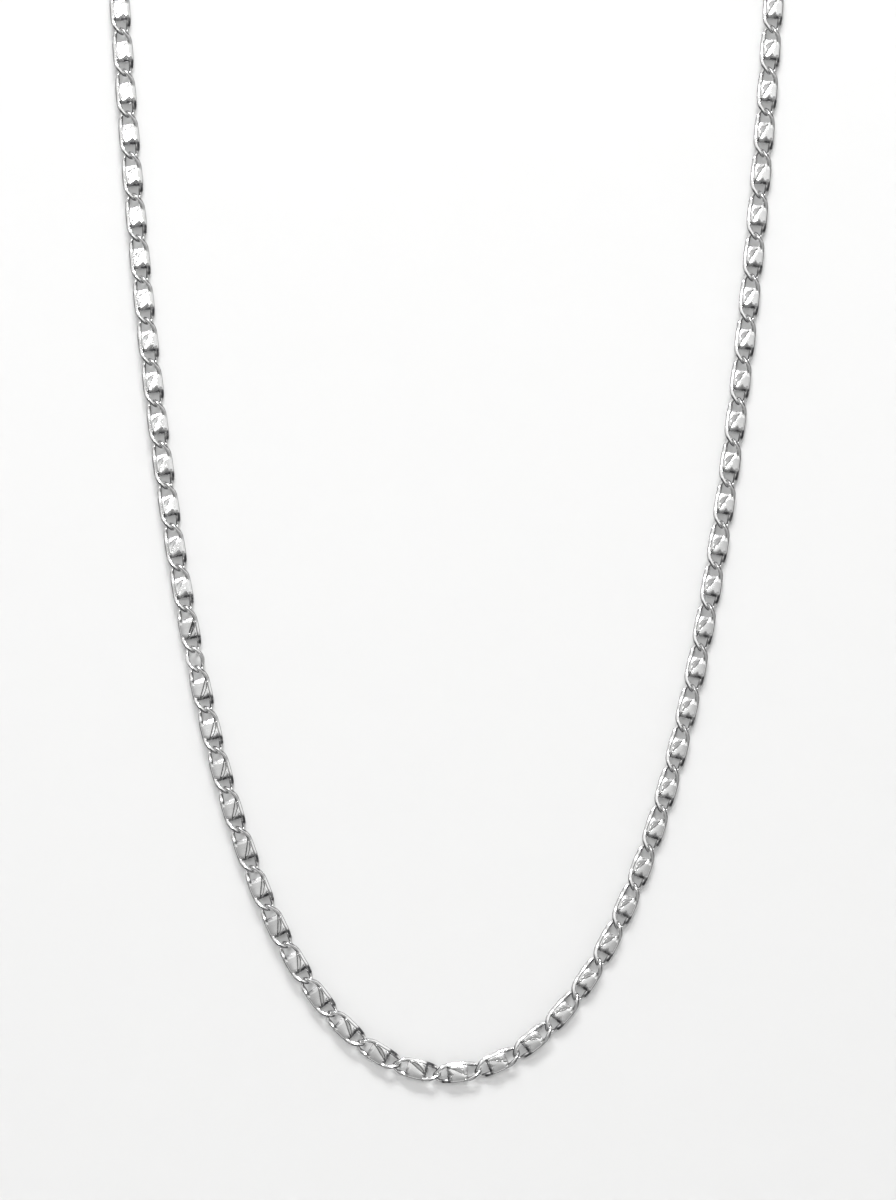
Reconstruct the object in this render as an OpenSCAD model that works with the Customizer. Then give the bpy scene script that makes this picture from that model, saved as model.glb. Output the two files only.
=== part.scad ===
// A neck chain of curb links with a scroll plate in each, hanging as a closed loop.
// The loop hangs in the XZ plane and faces -Y. The origin is where it is carried, at the
// underside of the clasp, which is the loop's highest piece.

/* [Link] */
// Length of a link from joint to joint
link_pitch = 6; // [5.98:0.01:6.02]
// Length of the one short plain link from joint to joint
short_pitch = 2.9; // [2.8:0.1:3.1]
// Width of the short link across its bowed sides
short_w = 2.75; // [2.5:0.05:2.8]
// Width of the chain
chain_w = 3; // [2.8:0.1:3.2]
// Thickness of the wire that forms a link's ends
wire_d = 0.58; // [0.5:0.02:0.58]
// Radius of a link's round end, to the middle of its wire
end_r = 0.85; // [0.8:0.01:0.9]
// Turn of a link's ends about its length, out of the chain's plane
end_turn = 35; // [33:1:40]
// Free play between the wires of two links at their joint
joint_play = 0.12; // [0.08:0.01:0.16]

/* [Scroll plate] */
// Length of the scroll plate that fills the middle of a link
plate_l = 2.9; // [2.6:0.1:3]
// Thickness of the plate along its crown
plate_t = 1.3; // [1.1:0.05:1.4]
// Thickness of the plate at its two long edges
plate_edge_t = 0.5; // [0.3:0.05:0.6]
// Width of the flat crown
crown_w = 1.7; // [1.2:0.1:2]
// Depth of the groove between the plate's two lobes
groove_d = 0.2; // [0.1:0.05:0.3]
// Turn of the groove away from the link's length
groove_turn = 25; // [15:1:35]

/* [Hanging route] */
// How fast the two strands spread as they rise
strand_spread = 19.9; // [19.85:0.05:19.95]
// How far they rise for each step of that spread
strand_rise = 22.5; // [22.45:0.05:22.55]
// Inward lean of the strands, as a part of the height
strand_lean = 0.0487; // [0.048:0.0001:0.049]
// Height above the lowest point at which the strands pass into the round top
shoulder_h = 157.1; // [156.5:0.1:158]
// Distance of the lowest joint to the left of the lowest point
first_joint = 1.4; // [0:0.1:2]

/* [Clasp] */
// Diameter of the plain barrel clasp
barrel_d = 3.6; // [3:0.1:4]
// Diameter of the barrel's two end faces
barrel_end_d = 1.6; // [1.4:0.1:2]
// Length of each of the barrel's tapered ends
barrel_taper = 1; // [0.6:0.1:1.4]
// Width of the seam groove round the barrel's middle
seam_w = 0.3; // [0.2:0.05:0.5]

/* [Hidden] */
$fn = 48;

// Links of each run, in order from the clasp down the left strand and up the right one.
// The short link comes between the fourth and the fifth run.
run_links = [7, 7, 7, 7, 9, 6, 9, 8, 7, 7, 7];
runs_above_short = 4;
// Links between the short link and the joint at the loop's lowest point
links_short_to_bottom = 12;

// In a link, X runs along the chain, Y to the loop's inner side and Z to the viewer. The
// wire's round end is centred on end_x, and its feet are where the straight rods meet it.
wire_r = wire_d / 2;
tip_reach = wire_r + joint_play / 2;
end_x = link_pitch / 2 + tip_reach - end_r;
foot_y = end_r * cos(end_turn);
foot_z = end_r * sin(end_turn);
// The rods start a little way inside the plate and a little out of its middle plane
rod_inset = 0.15;
rod_x = plate_l / 2 - rod_inset;
rod_y = chain_w / 2 - wire_r;
rod_z = 0.15;
// How far a rod runs on past its two ends, to fill the corner there
rod_overlap = 0.07;
solder_d = 0.4;
solder_l = 2 * tip_reach;

// The hanging route. Its parameter runs from negative on the left strand, through 0 at
// the lowest point, to positive on the right strand, and on round the top.
function cosh(t) = (exp(t) + exp(-t)) / 2;
function sinh(t) = (exp(t) - exp(-t)) / 2;
function strand_h(t) = strand_rise * (cosh(t) - 1);
function strand(t) = [strand_spread * t - sign(t) * strand_lean * strand_h(t), strand_h(t)];

shoulder_ratio = 1 + shoulder_h / strand_rise;
shoulder_t = ln(shoulder_ratio + sqrt(shoulder_ratio * shoulder_ratio - 1));
shoulder = strand(shoulder_t);
rise_rate = strand_rise * sinh(shoulder_t);
flare = atan2(strand_spread - strand_lean * rise_rate, rise_rate);
top_r = shoulder.x / cos(flare);
top_centre_h = shoulder.y + top_r * sin(flare);
rad = 180 / PI;

function top_arc(t) =
    let(turn = (abs(t) - shoulder_t) * rad - flare)
    [sign(t) * top_r * cos(turn), top_centre_h + top_r * sin(turn)];
function route(t) = abs(t) <= shoulder_t ? strand(t) : top_arc(t);

// The parameter at which the route is a straight distance away from where it is at t
function step(t, distance, side, low = 0, high = 0.5, tries = 30) =
    tries == 0 ? t + side * (low + high) / 2 :
    let(middle = (low + high) / 2, reach = norm(route(t + side * middle) - route(t)))
    reach < distance
        ? step(t, distance, side, middle, high, tries - 1)
        : step(t, distance, side, low, middle, tries - 1);
function walk(t, lengths, side, i = 0) =
    i == len(lengths) ? [t] : concat([t], walk(step(t, lengths[i], side), lengths, side, i + 1));
function sum(list, count, i = 0) = i >= count ? 0 : list[i] + sum(list, count, i + 1);
function reversed(list) = [for (i = [len(list) - 1:-1:0]) list[i]];

// Joints of the whole chain, from the clasp down the left strand and up the right one
links_above_short = sum(run_links, runs_above_short);
links_right = sum(run_links, len(run_links)) - links_above_short - links_short_to_bottom;
left_lengths = concat(
    [for (i = [1:links_short_to_bottom]) link_pitch],
    [short_pitch],
    [for (i = [1:links_above_short]) link_pitch]
);
right_lengths = [for (i = [1:links_right]) link_pitch];
first_t = -first_joint / strand_spread;
left_joints = reversed(walk(first_t, left_lengths, -1));
right_joints = walk(first_t, right_lengths, 1);
joints = [for (t = concat(left_joints, [for (i = [1:links_right]) right_joints[i]])) route(t)];
first_link_end = joints[0];
last_link_end = joints[len(joints) - 1];
clasp_span = norm(last_link_end - first_link_end);
clasp_h = (first_link_end.y + last_link_end.y) / 2;
necklace_l = clasp_span + short_pitch + link_pitch * sum(run_links, len(run_links));
echo(necklace_l = necklace_l, clasp_span = clasp_span, clasp_h = clasp_h, loop_w = 2 * top_r);

// Stands what is drawn in the loop's plane upright, and hangs it from the origin
module hang() {
    translate([0, 0, barrel_d / 2 - clasp_h]) rotate([90, 0, 0]) children();
}

// Puts a piece that lies along X between two joints
module between(a, b) {
    along = b - a;
    middle = (a + b) / 2;
    translate([middle.x, middle.y, 0]) rotate([0, 0, atan2(along.y, along.x)]) children();
}

// A straight piece of wire from one point to another
module rod(a, b) {
    along = b - a;
    length = norm(along);
    start = a - along / length * rod_overlap;
    translate(start)
        rotate([0, acos(along.z / length), atan2(along.y, along.x)])
            cylinder(d = wire_d, h = length + 2 * rod_overlap);
}

// The round end of a link, turned so that its lower side comes towards the viewer. A full
// turn makes it a closed eye.
module round_end(x, sweep = 180) {
    translate([x, 0, 0])
        rotate([-end_turn, 0, 0])
            rotate([0, 0, -90])
                rotate_extrude(angle = sweep)
                    translate([end_r, 0]) circle(d = wire_d);
}

// The half of a link's ring on its positive X side
module half_ring() {
    round_end(end_x);
    for (side = [-1, 1])
        rod([rod_x, side * rod_y, -side * rod_z], [end_x, side * foot_y, -side * foot_z]);
}

// Repeats a piece half a turn round, so that a link is the same both ways
module both_ways() {
    children();
    rotate([0, 0, 180]) children();
}

// A slanting groove in each face, where the plate's two lobes meet
module groove() {
    for (face = [-1, 1])
        rotate([0, 0, -groove_turn])
            translate([0, 0, face * plate_t / 2])
                rotate([45, 0, 0])
                    cube([2 * plate_l, groove_d * sqrt(2), groove_d * sqrt(2)], center = true);
}

// The domed plate across the middle of a link, as wide as the chain
module scroll_plate() {
    y = chain_w / 2;
    crown = crown_w / 2;
    top = plate_t / 2;
    edge = plate_edge_t / 2;
    outline = [
        [-y, -edge], [-crown, -top], [crown, -top], [y, -edge],
        [y, edge], [crown, top], [-crown, top], [-y, edge]
    ];
    difference() {
        rotate([90, 0, 90]) linear_extrude(plate_l, center = true) polygon(outline);
        groove();
    }
}

module scroll_link() {
    both_ways() half_ring();
    scroll_plate();
}

// Neighbouring links of one run are joined by a spot of solder between their ends
module solder(a, b, c) {
    along = c - a;
    translate([b.x, b.y, 0])
        rotate([0, 90, atan2(along.y, along.x)])
            cylinder(d = solder_d, h = solder_l, center = true);
}

// One stretch of the chain, given by its place in run_links
module link_run(run) {
    first = sum(run_links, run) + (run >= runs_above_short ? 1 : 0);
    last = first + run_links[run] - 1;
    color([0.8, 0.81, 0.83]) hang() {
        for (i = [first:last]) between(joints[i], joints[i + 1]) scroll_link();
        for (i = [first + 1:last]) solder(joints[i - 1], joints[i], joints[i + 1]);
    }
}

// The plain link of half length: two round ends and two sides bowed outwards, with no plate
module short_link() {
    x = short_pitch / 2 + tip_reach - end_r;
    bow_y = short_w / 2 - wire_r;
    color([0.72, 0.73, 0.76]) hang()
        between(joints[links_above_short], joints[links_above_short + 1])
            both_ways() {
                round_end(x);
                for (side = [-1, 1])
                    rod([0, side * bow_y, 0], [x, side * foot_y, -side * foot_z]);
            }
}

// A plain barrel with a closed eye set into each end face
module clasp() {
    eye_x = clasp_span / 2 + tip_reach - end_r;
    half = eye_x - end_r;
    r = barrel_d / 2;
    end_face_r = barrel_end_d / 2;
    seam = seam_w / 2;
    seam_r = r - seam_w;
    outline = [
        [0, -half], [end_face_r, -half], [r, barrel_taper - half], [r, -seam], [seam_r, -seam],
        [seam_r, seam], [r, seam], [r, half - barrel_taper], [end_face_r, half], [0, half]
    ];
    color([0.66, 0.67, 0.7]) hang()
        between(last_link_end, first_link_end) {
            rotate([0, 90, 0]) rotate_extrude() polygon(outline);
            both_ways() round_end(eye_x, 360);
        }
}

link_run(0);  // left_run_1
link_run(1);  // left_run_2
link_run(2);  // left_run_3
link_run(3);  // left_run_4
short_link();
link_run(4);  // left_run_5
link_run(5);  // bottom_run
link_run(6);  // right_run_1
link_run(7);  // right_run_2
link_run(8);  // right_run_3
link_run(9);  // right_run_4
link_run(10);  // right_run_5
clasp();
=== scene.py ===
from math import acosh, atan2, cos, cosh, hypot, pi, radians, sin, sinh

import bmesh
import bpy
import numpy as np
from mathutils import Matrix, Vector


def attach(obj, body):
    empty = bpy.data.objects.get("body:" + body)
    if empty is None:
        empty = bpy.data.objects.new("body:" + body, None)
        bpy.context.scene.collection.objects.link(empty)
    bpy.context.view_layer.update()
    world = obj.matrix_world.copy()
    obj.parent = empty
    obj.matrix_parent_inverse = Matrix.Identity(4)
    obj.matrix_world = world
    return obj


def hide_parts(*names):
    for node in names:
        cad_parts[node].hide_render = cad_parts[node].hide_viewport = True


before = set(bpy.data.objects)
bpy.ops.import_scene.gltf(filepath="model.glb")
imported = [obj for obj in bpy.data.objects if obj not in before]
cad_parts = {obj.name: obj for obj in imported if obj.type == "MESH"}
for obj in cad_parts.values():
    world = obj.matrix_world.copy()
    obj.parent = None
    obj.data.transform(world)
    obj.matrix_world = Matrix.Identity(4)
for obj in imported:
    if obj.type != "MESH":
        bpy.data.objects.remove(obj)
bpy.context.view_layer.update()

MM = 0.001

# The hanging route and the links along it, in mm, as the CAD model has them
LINK_PITCH = 6
SHORT_PITCH = 2.9
TIP_REACH = 0.35
STRAND_SPREAD = 19.9
STRAND_RISE = 22.5
STRAND_LEAN = 0.0487
SHOULDER_H = 157.1
FIRST_JOINT = 1.4
RUN_LINKS = [7, 7, 7, 7, 9, 6, 9, 8, 7, 7, 7]
RUN_NAMES = [
    "left_run_1", "left_run_2", "left_run_3", "left_run_4", "left_run_5", "bottom_run",
    "right_run_1", "right_run_2", "right_run_3", "right_run_4", "right_run_5",
]
RUNS_ABOVE_SHORT = 4
LINKS_SHORT_TO_BOTTOM = 12
BARREL_D = 3.6

# Middle of the wire round half of a link, from its upper rail round the +X end to its lower rail.
# The lower rail comes forward there and crosses in front, and the upper one goes back.
RING_HALF = [
    (0.0, 1.17, 0.0), (0.8, 1.17, -0.02), (1.3, 1.145, -0.09), (1.7, 1.10, -0.16), (2.05, 1.05, -0.25),
    (2.45, 0.98, -0.38), (2.84, 0.86, -0.48), (3.18, 0.62, -0.40), (3.375, 0.22, -0.05),
    (3.25, -0.12, 0.33), (2.90, -0.43, 0.51), (2.51, -0.72, 0.49), (2.1, -0.94, 0.36),
    (1.7, -1.07, 0.21), (1.3, -1.14, 0.10), (0.8, -1.17, 0.02),
]
RING_STEPS = 104
# How far the wire is turned about the link's length at its ends, and where along the link it turns
RING_TURN = 48
RING_TURNS_AT = (1.0, 2.9)
# The wire's section towards the viewer, from its outer to its inner side: a steep facet, a ridge
# and a broad facet
SECTION = [
    (0.30, 0.03), (0.275, 0.11), (0.205, 0.215), (0.10, 0.28),
    (-0.04, 0.30), (-0.165, 0.25), (-0.26, 0.15), (-0.295, 0.05),
]
# The wire's width, as places along the link and a scale: widest beside the window, narrow where it bends
RING_WIDTH = ([0.0, 1.2, 1.7, 2.2, 2.75, 3.4], [1.0, 1.0, 1.08, 1.08, 0.82, 0.76])
# How much closer together the sweep's steps are where the wire bends, in mm for each radian
BEND_CLOSENESS = 0.9

# The same for the short plain link
SHORT_HALF = [
    (0.0, 1.08, 0.0), (0.4, 1.05, -0.12), (0.85, 0.96, -0.32), (1.265, 0.85, -0.47),
    (1.605, 0.62, -0.40), (1.80, 0.22, -0.05), (1.675, -0.12, 0.33), (1.325, -0.43, 0.51),
    (0.935, -0.74, 0.46), (0.5, -0.95, 0.27),
]
SHORT_STEPS = 88
SHORT_TURNS_AT = (0.2, 1.4)
SHORT_WIDTH = ([0.0, 0.8, 1.2, 1.8], [1.0, 1.0, 0.84, 0.78])

# Clasp: a turned barrel, as (place along it from its end face, radius), and the eyes' wire
BARREL_PROFILE = [
    (0.0, 0.0), (0.0, 0.70), (0.06, 0.78), (0.16, 0.86), (0.42, 1.12), (0.70, 1.42), (0.95, 1.66),
    (1.08, 1.75), (1.22, 1.79), (1.40, 1.80),
]
SEAM_HALF, SEAM_D, SEAM_CHAMFER = 0.14, 0.22, 0.06
BARREL_SIDES = 72
EYE_R, EYE_WIRE_R, EYE_TURN = 0.85, 0.29, 35
EYE_STEPS, EYE_SIDES = 56, 18

# The photo: mm in a pixel, its height, and where its middle lies from the loop's lowest point
PX_MM = 0.14458
PHOTO_H_PX = 1200
CENTRE_X_MM = 0.22
CENTRE_H_MM = 68.63
# The camera's lens, and how far it sees in metres
LENS_MM = 200
SENSOR_MM = 36
SEEN_M = 20


def smooth(low, high, value):
    """A soft step from 0 at low to 1 at high, which may be the smaller one."""
    t = np.clip((np.asarray(value, float) - low) / (high - low), 0, 1)
    return t * t * (3 - 2 * t)


# The next joint is looked for within this much of the route's parameter, by halving it this often
STEP_MOST, STEP_HALVINGS = 0.5, 30


def strand(t):
    """The route below the shoulders, as (across, height), with the parameter 0 at the lowest point."""
    h = STRAND_RISE * (cosh(t) - 1)
    return np.array([STRAND_SPREAD * t - np.sign(t) * STRAND_LEAN * h, h])


SHOULDER_T = acosh(1 + SHOULDER_H / STRAND_RISE)
SHOULDER = strand(SHOULDER_T)
RISE_RATE = STRAND_RISE * sinh(SHOULDER_T)
FLARE = atan2(STRAND_SPREAD - STRAND_LEAN * RISE_RATE, RISE_RATE)
TOP_R = SHOULDER[0] / cos(FLARE)
TOP_CENTRE_H = SHOULDER[1] + TOP_R * sin(FLARE)


def route(t):
    """The whole route: the two strands and the round top."""
    if abs(t) <= SHOULDER_T:
        return strand(t)
    turn = abs(t) - SHOULDER_T - FLARE
    return np.array([np.sign(t) * TOP_R * cos(turn), TOP_CENTRE_H + TOP_R * sin(turn)])


def step(t, distance, side):
    """The parameter at which the route is a straight distance away from where it is at t."""
    low, high = 0.0, STEP_MOST
    here = route(t)
    for _ in range(STEP_HALVINGS):
        middle = (low + high) / 2
        if hypot(*(route(t + side * middle) - here)) < distance:
            low = middle
        else:
            high = middle
    return t + side * (low + high) / 2


def walk(t, lengths, side):
    """Parameters of joints that lie the given lengths apart."""
    places = [t]
    for length in lengths:
        places.append(step(places[-1], length, side))
    return places


def chain_joints():
    """Places of all joints, from the clasp down the left strand and up the right one."""
    above = sum(RUN_LINKS[:RUNS_ABOVE_SHORT])
    right = sum(RUN_LINKS) - above - LINKS_SHORT_TO_BOTTOM
    first = -FIRST_JOINT / STRAND_SPREAD
    left = [LINK_PITCH] * LINKS_SHORT_TO_BOTTOM + [SHORT_PITCH] + [LINK_PITCH] * above
    places = walk(first, left, -1)[::-1] + walk(first, [LINK_PITCH] * right, 1)[1:]
    return [route(t) for t in places]


JOINTS = chain_joints()
CLASP_SPAN = hypot(*(JOINTS[-1] - JOINTS[0]))
CLASP_H = (JOINTS[0][1] + JOINTS[-1][1]) / 2
LIFT = BARREL_D / 2 - CLASP_H


def placed(points, a, b, roll=0.0, tip=0.0):
    """Points in mm of a piece that lies along X, turned a little about its own axes, between two joints."""
    turned = points @ np.array(Matrix.Rotation(roll, 3, "X") @ Matrix.Rotation(tip, 3, "Y")).T
    along = (b - a) / hypot(*(b - a))
    middle = (a + b) / 2
    x = middle[0] + turned[:, 0] * along[0] - turned[:, 1] * along[1]
    h = middle[1] + turned[:, 0] * along[1] + turned[:, 1] * along[0]
    return np.stack([x, -turned[:, 2], h + LIFT], axis=1)


def mesh_object(name, points, faces):
    """A mesh object from points in mm."""
    mesh = bpy.data.meshes.new(name)
    mesh.from_pydata([tuple(p) for p in points], [], faces)
    mesh.update()
    piece = bpy.data.objects.new(name, mesh)
    bpy.context.collection.objects.link(piece)
    return piece


def made_solid(piece):
    """Gives a closed mesh plain triangles that all face outwards, and drops points that no face uses."""
    shape = bmesh.new()
    shape.from_mesh(piece.data)
    bmesh.ops.delete(shape, geom=[v for v in shape.verts if not v.link_faces], context="VERTS")
    bmesh.ops.recalc_face_normals(shape, faces=shape.faces)
    bmesh.ops.triangulate(shape, faces=shape.faces)
    shape.to_mesh(piece.data)
    shape.free()
    return piece


def joined(first, second):
    """The exact union of two closed meshes, which takes the place of both."""
    union = first.modifiers.new("union", "BOOLEAN")
    union.operation, union.solver, union.object = "UNION", "EXACT", second
    seen = first.evaluated_get(bpy.context.evaluated_depsgraph_get())
    mesh = bpy.data.meshes.new_from_object(seen)
    first.modifiers.clear()
    first.data = mesh
    bpy.data.objects.remove(second)
    return first


# Points that a smooth curve gets for each given one
SPLINE_POINTS = 40


def spline(points):
    """Dense points on a smooth closed curve through the given ones."""
    points = np.array(points, float)
    count = len(points)
    made = []
    for i in range(count):
        p = [points[(i + k) % count] for k in (-1, 0, 1, 2)]
        knots = [0.0]
        for k in range(3):
            knots.append(knots[-1] + np.linalg.norm(p[k + 1] - p[k]) ** 0.5)
        t = np.linspace(knots[1], knots[2], SPLINE_POINTS, endpoint=False)[:, None]

        def between(a, b, low, high):
            return (high - t) / (high - low) * a + (t - low) / (high - low) * b

        a = [between(p[k], p[k + 1], knots[k], knots[k + 1]) for k in range(3)]
        b = [between(a[k], a[k + 1], knots[k], knots[k + 2]) for k in range(2)]
        made.append(between(b[0], b[1], knots[1], knots[2]))
    return np.concatenate(made)


def ring_centreline(half, turns_at):
    """The ring's middle, the same both ways round, and the direction out of its plane at each point."""
    points = spline(half + [(-x, -y, z) for x, y, z in half])
    turn = -np.sign(points[:, 0]) * radians(RING_TURN) * smooth(*turns_at, np.abs(points[:, 0]))
    normals = np.stack([0 * turn, -np.sin(turn), np.cos(turn)], axis=1)
    return points, normals


def sweep_ring(name, points, normals, steps, widths):
    """Sweeps the wire's section round a ring, with more steps where the ring is bent."""
    ahead = np.roll(points, -1, axis=0) - points
    length = np.linalg.norm(ahead, axis=1)
    tangent = ahead / length[:, None]
    bend = np.linalg.norm(np.roll(tangent, -1, axis=0) - tangent, axis=1)
    weight = length + BEND_CLOSENESS * bend
    reach = np.concatenate([[0], np.cumsum(weight)])
    wanted = np.linspace(0, reach[-1], steps, endpoint=False)
    place = np.interp(wanted, reach, np.arange(len(reach)))
    low = place.astype(int) % len(points)
    part = (place - place.astype(int))[:, None]

    def at(values):
        return values[low] * (1 - part) + values[(low + 1) % len(values)] * part

    centre = at(points)
    forward = np.roll(centre, -1, axis=0) - np.roll(centre, 1, axis=0)
    forward /= np.linalg.norm(forward, axis=1)[:, None]
    front = at(normals)
    front -= (front * forward).sum(axis=1)[:, None] * forward
    front /= np.linalg.norm(front, axis=1)[:, None]
    out = np.cross(forward, front)
    if (out * centre).sum() < 0:
        out = -out
    width = np.interp(np.abs(centre[:, 0]), *widths)
    whole = SECTION + [(u, -w) for u, w in SECTION[::-1]]
    count = len(whole)
    verts = np.concatenate([
        [c + s * (u * o + w * f) for u, w in whole] for c, o, f, s in zip(centre, out, front, width)
    ])
    faces = [
        (i * count + j, i * count + (j + 1) % count,
         (i + 1) % steps * count + (j + 1) % count, (i + 1) % steps * count + j)
        for i in range(steps) for j in range(count)
    ]
    return made_solid(mesh_object(name, verts, faces))


# The scroll plate. All its places are in mm, with X along the link and Y to the loop's inner side.
PLATE_HALF_L = 1.48
LOWER_RIM, UPPER_RIM = 1.34, 1.04
EDGE_Z = 0.16
CROWN_Z = 0.67
LEAST_Z = 0.06
# How far the two halves reach past the link's middle plane, into each other
OVERLAP_Z = 0.02
# How far the crown of the lower and of the upper lobe lies inside its rim, and how much a crown bulges
LOWER_CROWN_IN, UPPER_CROWN_IN, CROWN_BULGE = 0.26, 0.13, 0.03
# A lobe narrows towards the end where the rail beside it comes forward: from where and over what length,
# how much its rim and its crown come in, and how much it sinks
NARROWS_FROM, NARROWS_OVER = 0.7, 0.6
LOWER_RIM_NARROWS, UPPER_RIM_NARROWS, CROWN_NARROWS = 0.15, 0.1, 0.25
LOWER_SINKS, UPPER_SINKS, UPPER_SINKS_FROM = 0.06, 0.20, 0.1
# The slanting valley between the lobes: its place in the plate's middle, its slope, and its lower flank
VALLEY_Y, VALLEY_SLOPE = 0.25, 0.51
FLANK_W, FLANK_LEAST, FLANK_AT = 0.10, 0.03, (1.42, 1.0)
# Least distance from a crease to the next one, and least room that each one leaves below the upper rim
CREASE_GAP, CREASE_ROOM = 0.03, 0.04
# Columns of points along the plate and rows across its bands, fewer where it is plain
FINE_FROM = 0.35
FINE_COLUMNS, MIDDLE_COLUMNS = 8, 7
COARSE_ROWS = 4
BAND_ROWS = [5, 12, 2, 6, 8, 4]
# The bands that are shaped in a way of their own, by number
LOWER_SIDE, LOWER_CROWN, LENS, UPPER_CROWN, UPPER_SIDE = 0, 1, 3, 4, 5
# The plate's ends go down in narrow terraces, the edges of the rolled strip: places along it and falls
END_PLACES = [0.98, 1.07, 1.10, 1.20, 1.23, 1.33, 1.36, 1.48]
END_FALLS = [0.0, 0.085, 0.09, 0.18, 0.185, 0.275, 0.28, 0.40]
# The terraces stay between the rails: they fade out over these places across the plate
BETWEEN_RAILS = (1.12, 0.85)
# The plate's corners go down under the rails: how far, and where along and across it
CORNER_FALL, CORNER_X, CORNER_Y = 0.30, (0.75, 1.25), (0.8, 1.05)
# The terraces' wave: its length, its slant and where it begins; how pointed their bays are; and where along
# the plate the bays start and how far past its end they close
END_WAVE_L, END_WAVE_SLANT, END_WAVE_AT = 0.46, 3, (0.85, 1.0)
BAY_POWER, BAY_FROM, BAY_CLOSES = 1.2, -0.1, 0.25
# Where an end's terraces reach into the plate: height across it, depth, and how far that goes up and down
# from there; how much they waver; and how much of their fall the end has
STRAIGHT_END = (-0.2, 0.10, 0.8, 0.8, 0.015, 0.12)
CURLED_END = (0.30, 0.50, 0.50, 0.55, 0.05, 1.0)
CUT_END = (0.80, 0.30, 0.20, 0.55, 0.04, 1.0)
SIDE_END = (0.60, 0.62, 0.20, 0.95, 0.04, 1.0)
# The strip between the valley and the upper lobe: where it begins, its length and its least width
LEAF_FROM, LEAF_L, LEAF_LEAST = -0.9, 2.15, 0.03
# Its width, how full it is towards its two ends, and how it rises from the valley (0) to the lobe (1)
LEAF = (0.60, 1.6, 1.0, [0.0, 0.45, 0.49, 0.53, 0.58, 0.62, 1.0])
BROAD_LEAF = (0.58, 1.0, 0.5, [0.0, 0.55, 0.60, 0.63, 0.66, 0.15, 1.0])
# An open scroll lies in the strip: where along the plate it begins and ends, and how it lies across it
OPEN_BEGINS, OPEN_ENDS, OPEN_ACROSS, OPEN_OFF = (-1.0, -0.5), (1.15, 0.6), 1.5, 0.12
# Plates by kind: depth of the valley, depth of an open scroll, the strip, the ends on the +X and -X side
RIGHT_PLATE = (0.22, 0.0, LEAF, STRAIGHT_END, CURLED_END)
LEFT_PLATE = (0.24, 0.0, BROAD_LEAF, CUT_END, STRAIGHT_END)
OPEN_PLATE = (0.24, 0.45, BROAD_LEAF, CUT_END, STRAIGHT_END)
TURNED_PLATE = (0.12, 0.0, LEAF, STRAIGHT_END, SIDE_END)
PLATE_KINDS = (TURNED_PLATE, OPEN_PLATE, LEFT_PLATE, RIGHT_PLATE)


def creases(u, valley_d, leaf):
    """The plate's creases at one place along it, from its lower to its upper side, as (Y, height)."""
    # A lobe is narrower where the rail beside it comes forward
    low_end = np.clip((u - NARROWS_FROM) / NARROWS_OVER, 0, 1)
    high_end = np.clip((-NARROWS_FROM - u) / NARROWS_OVER, 0, 1)
    low_rim = LOWER_RIM - LOWER_RIM_NARROWS * low_end
    high_rim = UPPER_RIM - UPPER_RIM_NARROWS * high_end
    low_crown = LOWER_RIM - LOWER_CROWN_IN - CROWN_NARROWS * low_end
    high_crown = UPPER_RIM - UPPER_CROWN_IN - CROWN_NARROWS * high_end
    low_z = CROWN_Z - LOWER_SINKS * float(low_end) ** 2
    high_z = CROWN_Z - UPPER_SINKS * float(smooth(UPPER_SINKS_FROM, 1, high_end))
    valley = VALLEY_Y - VALLEY_SLOPE * u
    broad, power, fullness = leaf[:3]
    along = np.clip((u - LEAF_FROM) / LEAF_L, 0, 1)
    lens = LEAF_LEAST + broad * max(0.0, sin(pi * along ** power)) ** fullness
    flank = FLANK_LEAST + FLANK_W * float(smooth(*FLANK_AT, u))
    marks = [
        (-low_rim, EDGE_Z),
        (-low_crown, low_z - CROWN_BULGE),
        (valley - flank, low_z),
        (valley, min(low_z, high_z) - valley_d),
        (valley + lens, high_z),
        (high_crown, high_z - CROWN_BULGE),
        (high_rim, EDGE_Z),
    ]
    # No crease crosses the next one
    last = len(marks) - 1
    made = [marks[0]]
    for k in range(1, last + 1):
        y = min(marks[k][0], high_rim - CREASE_ROOM * (last - k))
        made.append((max(y, made[-1][0] + CREASE_GAP), marks[k][1]))
    return made


def end_shift(u, y, bay):
    """How far the terraces of the +X end stand back from their plain places, for a bay and a wave."""
    centre, depth, up, down, waver = bay[:5]
    reach = up if y > centre else down
    bend = depth * max(0.0, 1 - abs(y - centre) / reach) ** BAY_POWER
    slanted = sin(2 * pi * y / END_WAVE_L + END_WAVE_SLANT * u)
    wave = waver * slanted * float(smooth(*END_WAVE_AT, u))
    opens = float(smooth(BAY_FROM, END_PLACES[0], u))
    closes = float(smooth(PLATE_HALF_L + BAY_CLOSES, END_PLACES[0], u))
    return bend * (opens * closes) + wave


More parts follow.
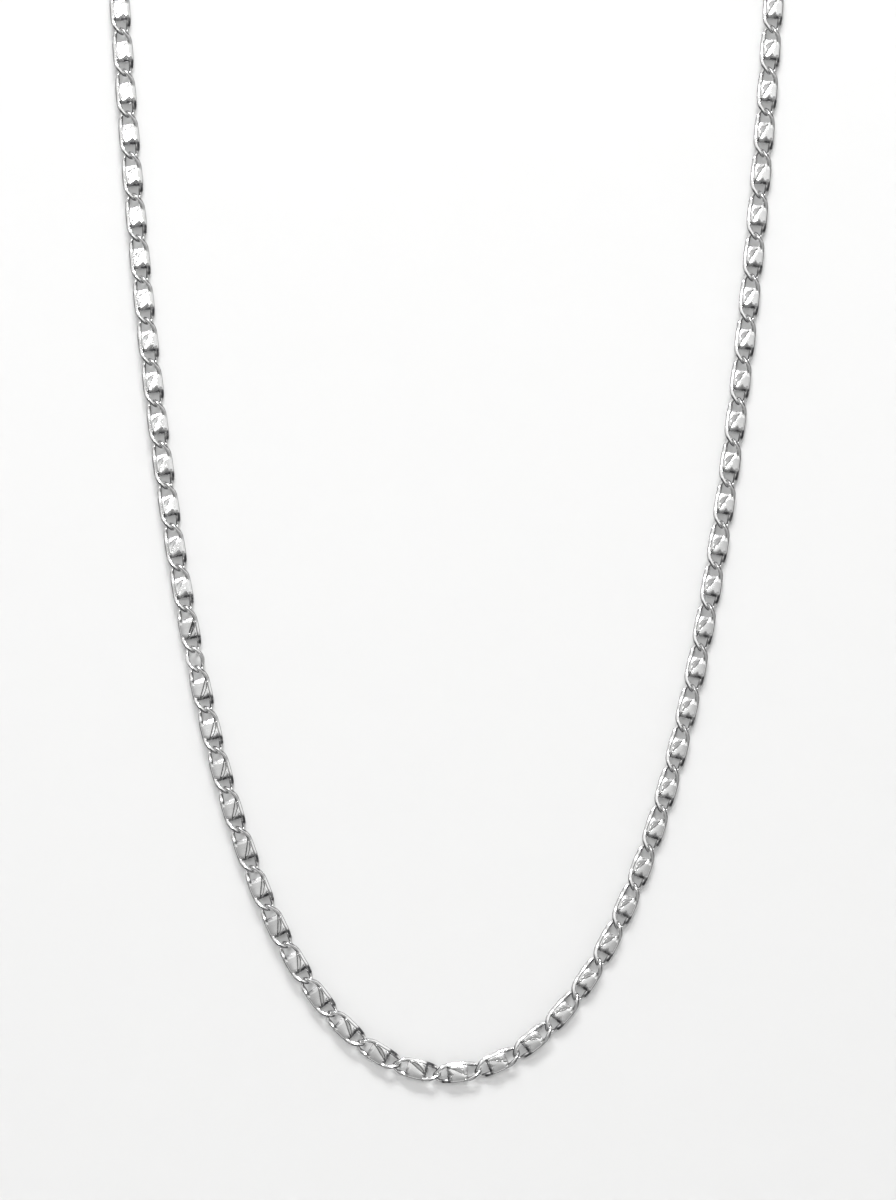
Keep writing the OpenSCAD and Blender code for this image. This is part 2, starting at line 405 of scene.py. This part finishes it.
def plate_points(kind):
    """Front surface of the plate as a grid of points: one column for each place along it."""
    valley_d, pit, leaf, right_end, left_end = kind
    plain = np.linspace(FINE_FROM, END_PLACES[0], FINE_COLUMNS, endpoint=False)
    ends = np.concatenate([plain, END_PLACES])
    middle = np.linspace(-FINE_FROM, FINE_FROM, MIDDLE_COLUMNS)[1:-1]
    columns = np.concatenate([-ends[::-1], middle, ends])
    grid = []
    for u in columns:
        marks = creases(u, valley_d, leaf)
        end = right_end if u > 0 else left_end
        open_here = pit * float(smooth(*OPEN_BEGINS, u) * smooth(*OPEN_ENDS, u))
        column = []
        for k, rows in enumerate(BAND_ROWS):
            for j in range(rows + (k == len(BAND_ROWS) - 1)):
                t = j / rows
                run, rise = t, leaf[3][j] if k == LENS else t
                if k == LOWER_SIDE:
                    run, rise = 1 - cos(t * pi / 2), sin(t * pi / 2)
                if k == UPPER_SIDE:
                    run, rise = sin(t * pi / 2), 1 - cos(t * pi / 2)
                y = marks[k][0] + (marks[k + 1][0] - marks[k][0]) * run
                z = marks[k][1] + (marks[k + 1][1] - marks[k][1]) * rise
                if k in (LOWER_CROWN, UPPER_CROWN):
                    z += CROWN_BULGE * sin(pi * t)
                if k == LENS:
                    z -= open_here * sin(pi * min(1.0, OPEN_ACROSS * t + OPEN_OFF))
                inside = float(smooth(*BETWEEN_RAILS, abs(y)))
                fall = float(np.interp(abs(u), END_PLACES, END_FALLS)) * inside * end[-1]
                corner = CORNER_FALL * float(smooth(*CORNER_X, abs(u)) * smooth(*CORNER_Y, abs(y)))
                z -= max(fall, corner)
                shift = end_shift(abs(u), y if u > 0 else -y, end) * inside
                column.append((u - np.sign(u) * shift, y, max(z, LEAST_Z)))
        grid.append(column)
    return columns, np.array(grid)


def plate_faces(columns, rows):
    """Faces of the front surface, with few rows where the plate is plain."""
    starts = np.concatenate([[0], np.cumsum(BAND_ROWS)])
    faces = []
    for i in range(len(columns) - 1):
        middle = (columns[i] + columns[i + 1]) / 2
        for k, count in enumerate(BAND_ROWS):
            plain = (k == LOWER_CROWN and middle > -FINE_FROM) or (k == UPPER_CROWN and middle < FINE_FROM)
            jump = COARSE_ROWS if plain else 1
            for j in range(starts[k], starts[k] + count, jump):
                faces.append((i, j, jump))
    coarse = {(i, j) for i, j, jump in faces if jump > 1}

    def side(j, jump, beside):
        """Rows on one side of a face: all of them where its neighbour has fine rows."""
        return [j, j + jump] if (beside, j) in coarse else list(range(j, j + jump + 1))

    made = []
    for i, j, jump in faces:
        left = [i * rows + r for r in side(j, jump, i - 1)]
        right = [(i + 1) * rows + r for r in side(j, jump, i + 1)]
        made.append(left[::-1] + right)
    return made


def scroll_plate(back, kind):
    """One half of the plate: its shaped face with walls down to the link's middle plane."""
    columns, grid = plate_points(kind)
    many, rows = grid.shape[:2]
    front = grid.reshape(-1, 3)
    low = [i * rows for i in range(many)]
    high = [i * rows + rows - 1 for i in range(many)]
    rim = low + list(range(low[-1] + 1, high[-1])) + high[::-1] + list(range(high[0] - 1, low[0], -1))
    base = front[rim] * (1, 1, 0) + (0, 0, -OVERLAP_Z)
    start = len(front)
    around = range(len(rim))
    walls = [(rim[k - 1], start + (k - 1) % len(rim), start + k, rim[k]) for k in around]
    faces = [tuple(f) for f in plate_faces(columns, rows)] + walls + [tuple(start + k for k in around)]
    points = np.concatenate([front, base]) * ((1, -1, -1) if back else (1, 1, 1))
    return made_solid(mesh_object("plate", points, faces))


def scroll_link(kind):
    """A link about the origin: its ring with the two halves of the plate."""
    points, normals = ring_centreline(RING_HALF, RING_TURNS_AT)
    ring = sweep_ring("ring", points, normals, RING_STEPS, RING_WIDTH)
    return joined(joined(ring, scroll_plate(False, kind)), scroll_plate(True, kind))


def all_links():
    """The arrays of each scroll link, from the clasp down the left strand and up the right one."""
    open_at, count = sum(RUN_LINKS[:RUNS_ABOVE_SHORT]) - 1, sum(RUN_LINKS) + 1
    turned, opened, left, right = [taken(scroll_link(kind)) for kind in PLATE_KINDS]
    # The upper left links hang the other way round
    turned = (turned[0] * (-1, -1, 1), *turned[1:])
    # Shade is painted darkest at the end of each link that faces down, away from the light from above: +X
    # on the left strand and -X on the right
    turned, opened, left = [(*link, painted_shade(link[0], 1)) for link in (turned, opened, left)]
    right = (*right, painted_shade(right[0], -1))
    bottom = open_at + 1 + LINKS_SHORT_TO_BOTTOM
    return [turned] * open_at + [opened] + [left] * (bottom - open_at) + [right] * (count - bottom - 1)


def plain_ring():
    """The short link about the origin."""
    points, normals = ring_centreline(SHORT_HALF, SHORT_TURNS_AT)
    return sweep_ring("short", points, normals, SHORT_STEPS, SHORT_WIDTH)


def short_painted_shade(points):
    """The painted dark lines, which stand in for dark edge reflections, along the short link's wire."""
    return wire_sides(points, SHORT_HALF, SHORT_TURNS_AT, SHORT_WIDTH)


def barrel(half):
    """A turned barrel along X with rounded, tapered ends and a seam with broken edges round its middle."""
    end = [(along - half, r) for along, r in BARREL_PROFILE]
    r = BARREL_PROFILE[-1][1]
    seam = [(-SEAM_HALF - SEAM_CHAMFER, r), (-SEAM_HALF, r - SEAM_CHAMFER), (-SEAM_HALF, r - SEAM_D)]
    left = end + seam
    profile = left + [(-x, r) for x, r in left[::-1]]
    rings = profile[1:-1]
    around = np.linspace(0, 2 * pi, BARREL_SIDES, endpoint=False)
    verts = [(x, r * cos(a), r * sin(a)) for x, r in rings for a in around] + [(-half, 0, 0), (half, 0, 0)]
    count = BARREL_SIDES
    faces = [
        (i * count + j, i * count + (j + 1) % count, (i + 1) * count + (j + 1) % count, (i + 1) * count + j)
        for i in range(len(rings) - 1) for j in range(count)
    ]
    last = (len(rings) - 1) * count
    for j in range(count):
        faces.append((len(verts) - 2, (j + 1) % count, j))
        faces.append((len(verts) - 1, last + j, last + (j + 1) % count))
    return made_solid(mesh_object("barrel", verts, faces))


def eye(x):
    """A closed eye of round wire at one place along X, turned like the links' ends."""
    verts, faces = [], []
    for i in range(EYE_STEPS):
        a = 2 * pi * i / EYE_STEPS
        for j in range(EYE_SIDES):
            b = 2 * pi * j / EYE_SIDES
            out = EYE_R + EYE_WIRE_R * cos(b)
            y, z = out * sin(a), EYE_WIRE_R * sin(b)
            turn = -np.sign(x) * radians(EYE_TURN)
            verts.append((x + out * cos(a), y * cos(turn) - z * sin(turn), y * sin(turn) + z * cos(turn)))
            i2, j2 = (i + 1) % EYE_STEPS, (j + 1) % EYE_SIDES
            faces.append((i * EYE_SIDES + j, i2 * EYE_SIDES + j, i2 * EYE_SIDES + j2, i * EYE_SIDES + j2))
    return made_solid(mesh_object("eye", verts, faces))


def clasp_body():
    """The barrel with an eye at each end, along X about the origin."""
    eye_x = CLASP_SPAN / 2 + TIP_REACH - EYE_R
    return joined(joined(barrel(eye_x - EYE_R), eye(eye_x)), eye(-eye_x))


# Least angle between two faces, in degrees, at which their edge looks sharp
SHARP_FROM = 17
# How far a link may be turned about its length and tipped over its width, in degrees, as loose links are
ROLL, TIP = 1.8, 0.8
CHANCE_SEED = 11
# Middle of the rail that goes back: places along the link and how far out it is
RAIL_PLACES = ([0.0, 1.3, 1.7, 2.05, 2.45, 2.84], [1.17, 1.145, 1.10, 1.05, 0.98, 0.86])


def mesh_arrays(piece):
    """A mesh's points, the points that its faces use in order, and how many each face has."""
    mesh = piece.data
    points = np.empty(len(mesh.vertices) * 3)
    mesh.vertices.foreach_get("co", points)
    loops = np.empty(len(mesh.loops), int)
    mesh.loops.foreach_get("vertex_index", loops)
    totals = np.empty(len(mesh.polygons), int)
    mesh.polygons.foreach_get("loop_total", totals)
    return points.reshape(-1, 3), loops, totals


# The painted dark line along each side of a wire, which stands in for the dark reflection at its edges: how
# far towards the viewer it fades out, and where across the wire it begins and ends
LINE_UP, LINE_BEGINS, LINE_ENDS = (0.20, 0.10), (0.20, 0.26), (0.42, 0.34)
# How strong the line on the outer side of a wire is beside the inner one, and the part of a link's reach
# over which it grows as strong, where the wires cross
OUTER_SHARE = 0.4
CROSSING_PART = (0.60, 0.72)
# Every so many points of the ring's middle are enough to find the nearest one
NEAREST_STEP = 4


def wire_sides(points, half, turns_at, widths):
    """How near each point is to the sides of a ring's wire, from 0 to 1, and less so on the outer side."""
    centre, front = [values[::NEAREST_STEP] for values in ring_centreline(half, turns_at)]
    forward = np.roll(centre, -1, axis=0) - np.roll(centre, 1, axis=0)
    forward /= np.linalg.norm(forward, axis=1)[:, None]
    front = front - (front * forward).sum(axis=1)[:, None] * forward
    front /= np.linalg.norm(front, axis=1)[:, None]
    near = np.linalg.norm(points[:, None] - centre[None], axis=2).argmin(axis=1)
    apart = (points - centre[near]) / np.interp(np.abs(centre[near, 0]), *widths)[:, None]
    up = np.abs((apart * front[near]).sum(axis=1))
    sideways = np.cross(forward, front)[near]
    side = np.abs((apart * sideways).sum(axis=1))
    outer = (apart * centre[near]).sum(axis=1) > 0
    near_side = smooth(*LINE_UP, up) * smooth(*LINE_BEGINS, side) * smooth(*LINE_ENDS, side)
    reach = np.abs(points[:, 0]) / np.abs(points[:, 0]).max()
    share = OUTER_SHARE + (1 - OUTER_SHARE) * smooth(*CROSSING_PART, reach)
    return near_side * np.where(outer, share, 1.0)


# The places of a link where shade is painted into the silver's colour. A pair is a stretch over which the
# painted shade comes or goes: along the link (X), across it (Y), towards the viewer (Z), or outwards from a
# rail's middle. A single number is how dark the painted shade gets.
ON_PLATE_X, ON_PLATE_Y = (1.55, 1.48), (1.0, 0.9)
HOLLOW_Z, HOLLOW_DARK = (0.60, 0.47), 0.55
DEEP_Z, DEEP_DARK = (0.42, 0.25), 0.25
PLATE_END_X, PLATE_END_DARK = (1.43, 1.47), 0.9
TIP_X, TIP_Y, TIP_DARK = (2.75, 3.0), (0.35, 0.1), 0.45
# The seams between the plate and the two rails: their places across the link and how they fade
UPPER_SEAM_Y, UPPER_SEAM_FADES = 1.05, (0.08, 0.04)
LOWER_SEAM_Y, LOWER_SEAM_FADES = 1.34, (0.07, 0.03)
SEAM_X, SEAM_Z, SEAM_DARK = (1.5, 1.4), (0.38, 0.32), 0.9
# The rails that go back
RAIL_BEGINS_X, RAIL_ENDS_X = (1.0, 1.3), (2.75, 2.45)
RAIL_OUTER, RAIL_OUTER_DARK = (0.13, 0.20), 0.45
RAIL_INNER, RAIL_INNER_DARK = (-0.16, -0.24), 0.6
DARK_RAIL, DARK_RAIL_ENDS_X = (-0.10, -0.02), (2.5, 2.3)


def painted_shade(points, dark_end):
    """How much shade is painted into the silver's colour at each point of a link, from 0 to 1.

    The shade is painted in the plate's hollows, at its ends and seams, under the link's tips, as dark lines
    along the sides of the wire and along the rails that go back, above all the one at the end that faces
    down, away from the light from above (-1 or 1).
    """
    x, y, z = np.abs(points.T)
    on_plate = smooth(*ON_PLATE_X, x) * smooth(*ON_PLATE_Y, y)
    # Painted shade in the plate's hollows, deepest low down, and at its ends
    hollow = smooth(*HOLLOW_Z, z) * HOLLOW_DARK + smooth(*DEEP_Z, z) * DEEP_DARK
    hollow = np.maximum(hollow, smooth(*PLATE_END_X, x) * PLATE_END_DARK)
    # Painted shade under the neighbouring link's tips
    tip = smooth(*TIP_X, x) * smooth(*TIP_Y, y) * TIP_DARK
    across = points[:, 1] * np.sign(points[:, 2])
    # Painted shade in the seams between the plate and the rails
    upper_seam = smooth(*UPPER_SEAM_FADES, np.abs(across - UPPER_SEAM_Y))
    lower_seam = smooth(*LOWER_SEAM_FADES, np.abs(across + LOWER_SEAM_Y))
    seam = np.maximum(upper_seam, lower_seam)
    seam *= smooth(*SEAM_X, x) * smooth(*SEAM_Z, z) * SEAM_DARK
    # Painted shade along the rails that go back
    receding = (points[:, 0] * points[:, 1] > 0) * smooth(*RAIL_BEGINS_X, x) * smooth(*RAIL_ENDS_X, x)
    outwards = y - np.interp(x, *RAIL_PLACES)
    outer = smooth(*RAIL_OUTER, outwards) * RAIL_OUTER_DARK
    inner = smooth(*RAIL_INNER, outwards) * RAIL_INNER_DARK
    rail = receding * np.maximum(outer, inner)
    # A darker painted shadow on that rail at the end that faces down, away from the light from above
    at_dark_end = points[:, 0] * dark_end > 0
    dash = receding * at_dark_end * smooth(*DARK_RAIL, outwards) * smooth(*DARK_RAIL_ENDS_X, x)
    rail = np.maximum(rail, dash)
    # Painted dark lines along the wire's sides, in place of the dark reflection at its edges
    wire = wire_sides(points, RING_HALF, RING_TURNS_AT, RING_WIDTH)
    return np.clip(np.maximum(on_plate * hollow + tip + rail, np.maximum(wire, seam)), 0, 1)


def finish_mesh(name, points, loops, totals, local, chance, shade_mask):
    """A piece in metres whose points keep their place in their link, its chance number and the shade
    painted at them.
    """
    mesh = bpy.data.meshes.new(name)
    mesh.vertices.add(len(points))
    mesh.vertices.foreach_set("co", (points * MM).ravel())
    mesh.loops.add(len(loops))
    mesh.loops.foreach_set("vertex_index", loops)
    mesh.polygons.add(len(totals))
    mesh.polygons.foreach_set("loop_start", np.concatenate([[0], np.cumsum(totals)[:-1]]))
    mesh.polygons.foreach_set("loop_total", totals)
    mesh.update(calc_edges=True)
    mesh.polygons.foreach_set("use_smooth", np.ones(len(totals), bool))
    mesh.set_sharp_from_angle(angle=radians(SHARP_FROM))
    place = mesh.attributes.new("link_place", "FLOAT_VECTOR", "POINT")
    place.data.foreach_set("vector", local.ravel())
    for label, values in (("link_chance", chance), ("painted_shade", shade_mask)):
        attribute = mesh.attributes.new(label, "FLOAT", "POINT")
        attribute.data.foreach_set("value", values)
    piece = bpy.data.objects.new(name, mesh)
    bpy.context.collection.objects.link(piece)
    return piece


def link_run(name, first, count, links, chance):
    """One piece with the links of a run."""
    made = [[], [], [], [], [], []]
    start = 0
    for i in range(first, first + count):
        points, loops, totals, shade_mask = links[i]
        roll, tip = radians(chance.uniform(-ROLL, ROLL)), radians(chance.uniform(-TIP, TIP))
        made[0].append(placed(points, JOINTS[i], JOINTS[i + 1], roll, tip))
        made[1].append(loops + start)
        made[2].append(totals)
        made[3].append(points)
        made[4].append(np.full(len(points), chance.random()))
        made[5].append(shade_mask)
        start += len(points)
    return finish_mesh(name, *[np.concatenate(m) for m in made])


def single_piece(name, source, a, b, shade_mask=None):
    """One piece from a mesh that lies about the origin, put between two joints."""
    points, loops, totals = taken(source)
    zeros = np.zeros(len(points))
    dark = shade_mask(points) if shade_mask else zeros
    return finish_mesh(name, placed(points, a, b), loops, totals, points, zeros, dark)


def taken(source):
    """The arrays of a mesh object, which is removed."""
    arrays = mesh_arrays(source)
    bpy.data.objects.remove(source)
    return arrays


def given(piece, node, material):
    """Hands a finished piece over: it rides on the part, stands for a node and has its slot's material."""
    piece.data.materials.append(material)
    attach(piece, "root")
    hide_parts(node)


# Colours of bright silver and of the painted shade
BRIGHT, SHADE_COLOUR = (0.95, 0.95, 0.945, 1), (0.09, 0.09, 0.094, 1)
# How rough the silver is where it is polished and worn, and where shade is painted into it
POLISHED, WORN, SHADED_ROUGH = 0.07, 0.17, 0.34
# Polish marks: texture scale per mm and detail, which of their values count for gloss and for the painted
# shade, and how much they weaken and strengthen the painted shade
MARKS_SCALE, MARKS_DETAIL = 1.6, 3.0
GLOSS_MARKS, SHADE_MARKS, UNEVEN = (0.35, 0.7), (0.3, 0.7), (0.7, 1.3)
# Fine scratches along a link: texture scale per mm, detail and how much closer they lie across it; depth in
# mm and strength
SCRATCH_SCALE, SCRATCH_DETAIL, SCRATCH_STRETCH = 5.0, 4.0, (1.0, 9.0, 9.0)
SCRATCH_DEPTH, SCRATCH_STRENGTH = 0.004, 0.35
# How far apart in the textures, in mm, links may lie
TEXTURE_SPREAD = 57.0


def silver(name):
    """Polished silver with uneven gloss and fine scratches along the piece, with painted shade in its
    hollows and painted dark lines at its edges, which are also rougher.
    """
    material = bpy.data.materials.new(name)
    material.use_nodes = True
    nodes, links = material.node_tree.nodes, material.node_tree.links
    shader = nodes["Principled BSDF"]
    shader.inputs["Metallic"].default_value = 1

    def attribute(label, output):
        """A value that the mesh keeps for each point."""
        node = nodes.new("ShaderNodeAttribute")
        node.attribute_name = label
        return node.outputs[output]

    def vector(operation, a, b):
        """Two vectors in one operation."""
        node = nodes.new("ShaderNodeVectorMath")
        node.operation = operation
        for socket, value in zip(node.inputs, (a, b)):
            if isinstance(value, tuple):
                socket.default_value = value
            else:
                links.new(value, socket)
        return node.outputs[0]

    def noise(place, scale, detail):
        """Soft noise from 0 to 1."""
        node = nodes.new("ShaderNodeTexNoise")
        links.new(place, node.inputs["Vector"])
        node.inputs["Scale"].default_value = scale
        node.inputs["Detail"].default_value = detail
        return node.outputs["Fac"]

    def spread(value, low, high, start, end):
        """A value from low to high turned into one from start to end, which may be other values."""
        node = nodes.new("ShaderNodeMapRange")
        links.new(value, node.inputs["Value"])
        for label, number in (("From Min", low), ("From Max", high)):
            node.inputs[label].default_value = number
        for label, number in (("To Min", start), ("To Max", end)):
            if isinstance(number, float):
                node.inputs[label].default_value = number
            else:
                links.new(number, node.inputs[label])
        return node.outputs["Result"]

    # Each link has its own stretch of the textures
    chance = vector("SCALE", attribute("link_chance", "Vector"), (0.0, 0.0, 0.0))
    chance.node.inputs["Scale"].default_value = TEXTURE_SPREAD
    place = vector("ADD", attribute("link_place", "Vector"), chance)
    marks = noise(place, MARKS_SCALE, MARKS_DETAIL)
    scratches = noise(vector("MULTIPLY", place, SCRATCH_STRETCH), SCRATCH_SCALE, SCRATCH_DETAIL)

    # The shade painted into the colour, made uneven by the polish marks
    shade_mask = nodes.new("ShaderNodeMath")
    shade_mask.operation = "MULTIPLY"
    shade_mask.use_clamp = True
    links.new(attribute("painted_shade", "Fac"), shade_mask.inputs[0])
    links.new(spread(marks, *SHADE_MARKS, *UNEVEN), shade_mask.inputs[1])

    colour = nodes.new("ShaderNodeMix")
    colour.data_type = "RGBA"
    links.new(shade_mask.outputs[0], colour.inputs["Factor"])
    # Counted from 0, inputs 6 and 7 and output 2 of a mix node are its colours
    colour.inputs[6].default_value = BRIGHT
    colour.inputs[7].default_value = SHADE_COLOUR
    links.new(colour.outputs[2], shader.inputs["Base Color"])

    gloss = spread(marks, *GLOSS_MARKS, POLISHED, WORN)
    links.new(spread(shade_mask.outputs[0], 0.0, 1.0, gloss, SHADED_ROUGH), shader.inputs["Roughness"])

    bump = nodes.new("ShaderNodeBump")
    bump.inputs["Strength"].default_value = SCRATCH_STRENGTH
    bump.inputs["Distance"].default_value = SCRATCH_DEPTH * MM
    links.new(scratches, bump.inputs["Height"])
    links.new(bump.outputs["Normal"], shader.inputs["Normal"])
    return material


# The stage in metres. The wall stands just behind the chain, leans back above the bend and curves into the
# floor below its foot.
WALL_Y = 0.00087
WALL_TOP, WALL_BENT, WALL_FOOT, FLOOR_Z = 0.45, -0.05, -0.30, -0.38
WALL_LEAN, WALL_LEAN_POWER = 0.35, 1.5
WALL_ROWS, CURVE_ROWS = 21, 9
FLOOR_FRONT_Y = -9.0
WALL_XS, FLOOR_XS = (-1.3, -0.4, 0.4, 1.3), (-9.0, -0.4, 0.4, 9.0)
STAGE_COLOUR, STAGE_ROUGH = (0.74, 0.74, 0.74 * 0.997, 1), 0.9
# How far from the origin, in metres, the stage begins to glow for the camera and where the glow is full,
# how strong it is, and how pale the camera sees the sky
GLOWS_FROM, GLOWS_TO, FAR_GLOW, SKY_SHADE = 0.4, 1.8, 0.66, 0.95
WHITE = (1, 1, 1, 1)


def stage_material():
    """Matt and pale from in front, and clear from behind, so that the back of the chain can be seen."""
    material = bpy.data.materials.new("backdrop")
    material.use_nodes = True
    nodes, links = material.node_tree.nodes, material.node_tree.links
    shader = nodes["Principled BSDF"]
    shader.inputs["Base Color"].default_value = STAGE_COLOUR
    shader.inputs["Roughness"].default_value = STAGE_ROUGH
    clear = nodes.new("ShaderNodeBsdfTransparent")
    side = nodes.new("ShaderNodeNewGeometry")
    # Far out, where little of the lamps' light falls, the stage glows for the camera
    reach = nodes.new("ShaderNodeVectorMath")
    reach.operation = "LENGTH"
    links.new(side.outputs["Position"], reach.inputs[0])
    far = nodes.new("ShaderNodeMapRange")
    links.new(reach.outputs["Value"], far.inputs["Value"])
    far.inputs["From Min"].default_value = GLOWS_FROM
    far.inputs["From Max"].default_value = GLOWS_TO
    far.inputs["To Max"].default_value = FAR_GLOW
    glow = nodes.new("ShaderNodeMath")
    glow.operation = "MULTIPLY"
    links.new(far.outputs["Result"], glow.inputs[0])
    links.new(nodes.new("ShaderNodeLightPath").outputs["Is Camera Ray"], glow.inputs[1])
    links.new(glow.outputs[0], shader.inputs["Emission Strength"])
    shader.inputs["Emission Color"].default_value = WHITE
    mix = nodes.new("ShaderNodeMixShader")
    links.new(side.outputs["Backfacing"], mix.inputs[0])
    links.new(shader.outputs[0], mix.inputs[1])
    links.new(clear.outputs[0], mix.inputs[2])
    links.new(mix.outputs[0], nodes["Material Output"].inputs["Surface"])
    return material


def stage_sheet(name, profile, across, material):
    """A sheet with the given profile of (Y, Z) places, whose front faces the viewer."""
    wide = len(across)
    mesh = bpy.data.meshes.new(name)
    mesh.from_pydata(
        [(x, y, z) for y, z in profile for x in across], [],
        [
            (r * wide + c, (r + 1) * wide + c, (r + 1) * wide + c + 1, r * wide + c + 1)
            for r in range(len(profile) - 1) for c in range(wide - 1)
        ],
    )
    mesh.polygons.foreach_set("use_smooth", [True] * len(mesh.polygons))
    mesh.update()
    mesh.materials.append(material)
    sheet = bpy.data.objects.new(name, mesh)
    bpy.context.collection.objects.link(sheet)
    sheet.visible_shadow = False
    # The chain mirrors the studio's light, not the stage
    sheet.visible_glossy = False


def stage():
    """The wall behind the chain, and the floor that curves out of its foot towards the viewer."""
    material = stage_material()
    heights = np.linspace(WALL_TOP, WALL_BENT, WALL_ROWS)
    wall = [(WALL_Y + WALL_LEAN * (z - WALL_BENT) ** WALL_LEAN_POWER, z) for z in heights]
    stage_sheet("backdrop", wall + [(WALL_Y, WALL_FOOT)], WALL_XS, material)
    radius = WALL_FOOT - FLOOR_Z
    turns = np.linspace(0, pi / 2, CURVE_ROWS)
    curve = [(WALL_Y - radius * (1 - cos(turn)), WALL_FOOT - radius * sin(turn)) for turn in turns]
    stage_sheet("floor", curve + [(FLOOR_FRONT_Y, FLOOR_Z)], FLOOR_XS, material)


# Brightness of the surroundings in front by height, from straight below to straight above
BY_HEIGHT = [
    (-1.0, 0.50), (-0.85, 0.40), (-0.6, 0.32), (-0.3, 0.36), (-0.12, 0.46), (0.0, 0.68),
    (0.08, 0.88), (0.5, 0.98), (1.0, 0.90),
]
# And from the left to the right
BY_SIDE = [(-1.0, 0.80), (-0.3, 0.90), (0.1, 1.0), (1.0, 1.0)]
# From in front to behind: where the surroundings in front give way to those behind, and their brightness
BEHIND_FROM = [(-1.0, 0.0), (0.1, 0.0), (0.3, 1.0), (1.0, 1.0)]
BEHIND_SHADE = 0.9
# Beside the chain and a little behind it the surroundings are dimmer, but not high above it
BY_DEPTH = [(-1.0, 1.0), (-0.05, 1.0), (0.12, 0.50), (0.55, 0.50), (0.75, 1.0), (1.0, 1.0)]
HIGH_ABOVE = [(-1.0, 0.0), (0.4, 0.0), (0.75, 1.0), (1.0, 1.0)]
# How much of the surroundings falls on matt surfaces, so that the lamps' shadows show
SOFT_SHARE = 0.5
# The lamps: name, place and target in metres, width and depth in metres, and watts
LAMPS = [
    ("overhead", (0, -0.50, 0.64), (0, 0, -0.12), (0.45, 0.22), 7.2),
    ("key", (-0.06, -0.56, 0.02), (0, 0, -0.15), (0.18, 0.18), 0.8),
]


def studio():
    """Light from all round, by direction: bright in front, above and behind, dimmer below and beside."""
    world = bpy.data.worlds.new("studio")
    bpy.context.scene.world = world
    world.use_nodes = True
    nodes, links = world.node_tree.nodes, world.node_tree.links

    def ramp(value, stops):
        """A curve through the stops, each a place from -1 to 1 and a brightness."""
        span = nodes.new("ShaderNodeMapRange")
        span.inputs["From Min"].default_value = -1
        links.new(value, span.inputs["Value"])
        node = nodes.new("ShaderNodeValToRGB")
        node.color_ramp.interpolation = "EASE"
        marks = node.color_ramp.elements
        while len(marks) < len(stops):
            marks.new(0.5)
        for mark, (place, bright) in zip(marks, stops):
            mark.position = (place + 1) / 2
            mark.color = (bright / 2, bright / 2, bright / 2, 1)
        links.new(span.outputs["Result"], node.inputs["Fac"])
        double = nodes.new("ShaderNodeMath")
        double.operation = "MULTIPLY"
        links.new(node.outputs["Color"], double.inputs[0])
        double.inputs[1].default_value = 2
        return double.outputs[0]

    def combined(operation, a, b):
        """Two values, each a socket or a number, in one operation."""
        node = nodes.new("ShaderNodeMath")
        node.operation = operation
        for socket, value in zip(node.inputs, (a, b)):
            if isinstance(value, float):
                socket.default_value = value
            else:
                links.new(value, socket)
        return node.outputs[0]

    def mixed(share, a, number):
        """A value that gives way to a number as the share goes from 0 to 1."""
        node = nodes.new("ShaderNodeMix")
        links.new(share, node.inputs["Factor"])
        links.new(a, node.inputs["A"])
        node.inputs["B"].default_value = number
        return node.outputs["Result"]

    way = nodes.new("ShaderNodeTexCoord").outputs["Generated"]
    apart = nodes.new("ShaderNodeSeparateXYZ")
    links.new(way, apart.inputs[0])
    x, y, z = apart.outputs
    front = combined("MULTIPLY", ramp(z, BY_HEIGHT), ramp(x, BY_SIDE))
    around = mixed(ramp(y, BEHIND_FROM), front, BEHIND_SHADE)
    level = combined("MAXIMUM", ramp(y, BY_DEPTH), ramp(z, HIGH_ABOVE))
    mirrored = combined("MULTIPLY", around, level)
    # Matt surfaces get less of this light, and the camera sees a plain sky
    path = nodes.new("ShaderNodeLightPath").outputs
    matt = combined("MULTIPLY", path["Is Diffuse Ray"], SOFT_SHARE - 1)
    light = combined("MULTIPLY", mirrored, combined("ADD", matt, 1.0))
    seen = mixed(path["Is Camera Ray"], light, SKY_SHADE)
    links.new(seen, nodes["Background"].inputs["Strength"])
    nodes["Background"].inputs["Color"].default_value = WHITE


def soft_box(name, place, target, size, watts):
    """A lamp with a soft rectangle of light that faces its target."""
    data = bpy.data.lights.new(name, "AREA")
    data.shape = "RECTANGLE"
    data.size, data.size_y = size
    data.energy = watts
    lamp = bpy.data.objects.new(name, data)
    bpy.context.collection.objects.link(lamp)
    lamp.location = place
    lamp.rotation_euler = (Vector(target) - Vector(place)).to_track_quat("-Z", "Y").to_euler()


def camera():
    """The camera straight in front of the picture's middle, so far away that the picture's height fits."""
    data = bpy.data.cameras.new("camera")
    data.lens, data.sensor_width = LENS_MM, SENSOR_MM
    data.clip_end = SEEN_M
    view = bpy.data.objects.new("camera", data)
    bpy.context.collection.objects.link(view)
    high = PHOTO_H_PX * PX_MM * MM
    away = high * LENS_MM / SENSOR_MM
    view.location = (CENTRE_X_MM * MM, -away, (CENTRE_H_MM + LIFT) * MM)
    view.rotation_euler = (radians(90), 0, 0)
    bpy.context.scene.camera = view


def chain(material):
    """The runs of scroll links and the short link, in order from the clasp."""
    links = all_links()
    chance = np.random.default_rng(CHANCE_SEED)
    first = 0
    for run, (name, count) in enumerate(zip(RUN_NAMES, RUN_LINKS)):
        if run == RUNS_ABOVE_SHORT:
            ends = JOINTS[first], JOINTS[first + 1]
            short = single_piece("plain_short_link", plain_ring(), *ends, short_painted_shade)
            given(short, "short_link", material)
            first += 1
        stretch = link_run("links_" + name, first, count, links, chance)
        given(stretch, name, material)
        first += count


def clasp(material):
    """The barrel clasp, which closes the chain at its top."""
    piece = single_piece("barrel_clasp", clasp_body(), JOINTS[-1], JOINTS[0])
    given(piece, "clasp", material)


camera()
stage()
studio()
for lamp in LAMPS:
    soft_box(*lamp)
bpy.context.scene.view_settings.view_transform = "Standard"
chain(silver("chain_silver"))
clasp(silver("clasp_silver"))
